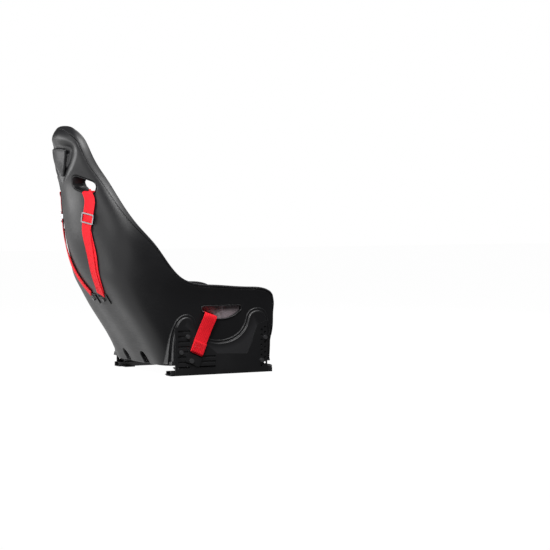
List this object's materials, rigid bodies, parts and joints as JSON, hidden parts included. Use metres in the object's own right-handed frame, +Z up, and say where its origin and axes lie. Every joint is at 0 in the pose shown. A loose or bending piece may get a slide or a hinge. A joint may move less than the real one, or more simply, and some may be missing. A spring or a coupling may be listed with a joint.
{
  "type": "racing seat",
  "caption": "Fixed-back bucket racing seat with raised side bosses, harness slots, red harness straps, slotted side brackets and slide rails.",
  "frame": {"origin": "centre of the four mounting holes, on the underside of the lower slide rails", "axes": "+Z up, the seat faces -Y, +X is the occupant's left; symmetric about X = 0"},
  "size_m": [0.514, 0.7859, 0.867],
  "materials": {
    "shell_plastic": "fine-textured satin black",
    "badge_plastic": "fine-textured satin black, blank",
    "pad_fabric": "black woven upholstery",
    "mesh_fabric": "dark grey-brown spacer mesh",
    "webbing_red": "red polyester webbing with lengthwise ribs",
    "steel_bright": "satin zinc",
    "steel_black": "black powder coat",
    "bolt_black": "black oxide",
    "insert_brass": "turned brass",
    "buckle_plastic": "satin black",
    "knob_red": "satin red",
    "rail_steel": "black e-coated steel",
    "ball_steel": "polished steel",
    "cage_plastic": "natural nylon",
    "lever_black": "black powder coat"
  },
  "bodies": {
    "base": {"lower_rail_left": "rail_steel", "lower_rail_right": "rail_steel"},
    "ball_cages": {"ball_cage_left": "cage_plastic", "ball_cage_right": "cage_plastic", "rail_balls_left": "ball_steel", "rail_balls_right": "ball_steel"},
    "lever": {"slide_lever": "lever_black", "latch_plate_left": "rail_steel", "latch_plate_right": "rail_steel"},
    "release": {"release_knob": "knob_red"},
    "adjuster_left": {"shoulder_adjuster_left": "steel_bright", "adjuster_bar_left": "steel_bright"},
    "adjuster_right": {"shoulder_adjuster_right": "steel_bright", "adjuster_bar_right": "steel_bright"},
    "carriage": {"back_shell": "shell_plastic", "front_shell": "shell_plastic", "slot_bezel_left": "shell_plastic", "slot_bezel_right": "shell_plastic", "lap_bezel_left": "shell_plastic", "lap_bezel_right": "shell_plastic", "rear_badge": "badge_plastic", "head_pad": "pad_fabric", "back_pad": "pad_fabric", "lumbar_pad": "pad_fabric", "seat_cushion": "pad_fabric", "shoulder_pad": "pad_fabric", "back_bolster_left": "pad_fabric", "back_bolster_right": "pad_fabric", "thigh_bolster_left": "mesh_fabric", "thigh_bolster_right": "mesh_fabric", "shoulder_strap_rear_left": "webbing_red", "shoulder_strap_rear_right": "webbing_red", "shoulder_strap_front_left": "webbing_red", "shoulder_strap_front_right": "webbing_red", "lap_strap_left": "webbing_red", "lap_strap_right": "webbing_red", "shoulder_tongue_left": "steel_bright", "shoulder_tongue_right": "steel_bright", "lap_tongue_left": "steel_bright", "lap_tongue_right": "steel_bright", "shoulder_anchor_left": "steel_black", "shoulder_anchor_right": "steel_black", "lap_anchor_left": "steel_black", "lap_anchor_right": "steel_black", "side_bracket_left": "steel_black", "side_bracket_right": "steel_black", "shoulder_anchor_bolts": "bolt_black", "bracket_bolts": "bolt_black", "bracket_washers": "bolt_black", "lap_anchor_bolts": "bolt_black", "rail_bolts": "bolt_black", "shell_inserts": "insert_brass", "buckle_body": "buckle_plastic", "upper_rail_left": "rail_steel", "upper_rail_right": "rail_steel", "lever_pins": "rail_steel", "lever_springs": "rail_steel"}
  },
  "joints": [
    {"name": "seat_slide", "type": "slide", "parent": "base", "child": "carriage", "axis": [0, -1, 0], "range_m": [-0.09, 0.09]},
    {"name": "cage_slide", "type": "slide", "parent": "base", "child": "ball_cages", "axis": [0, -1, 0], "range_m": [-0.045, 0.045]},
    {"name": "lever_pivot", "type": "hinge", "parent": "carriage", "child": "lever", "pos_m": [0, -0.02, 0.011], "axis": [-1, 0, 0], "range_deg": [0, 5], "stiffness_Nm_per_rad": 12, "springref_deg": -8.59},
    {"name": "release_turn", "type": "hinge", "parent": "carriage", "child": "release", "pos_m": [0, 0.03, 0.136], "axis": [0, 0, 1], "range_deg": [-30, 30], "stiffness_Nm_per_rad": 0.4},
    {"name": "adjuster_left_slide", "type": "slide", "parent": "carriage", "child": "adjuster_left", "axis": [0.2148, -0.0437, 0.9757], "range_m": [-0.012, 0.012]},
    {"name": "adjuster_right_slide", "type": "slide", "parent": "carriage", "child": "adjuster_right", "axis": [-0.2148, -0.0437, 0.9757], "range_m": [-0.012, 0.012]}
  ],
  "couplings": [
    {"joint": "cage_slide", "follows": "seat_slide", "ratio": 0.5}
  ]
}
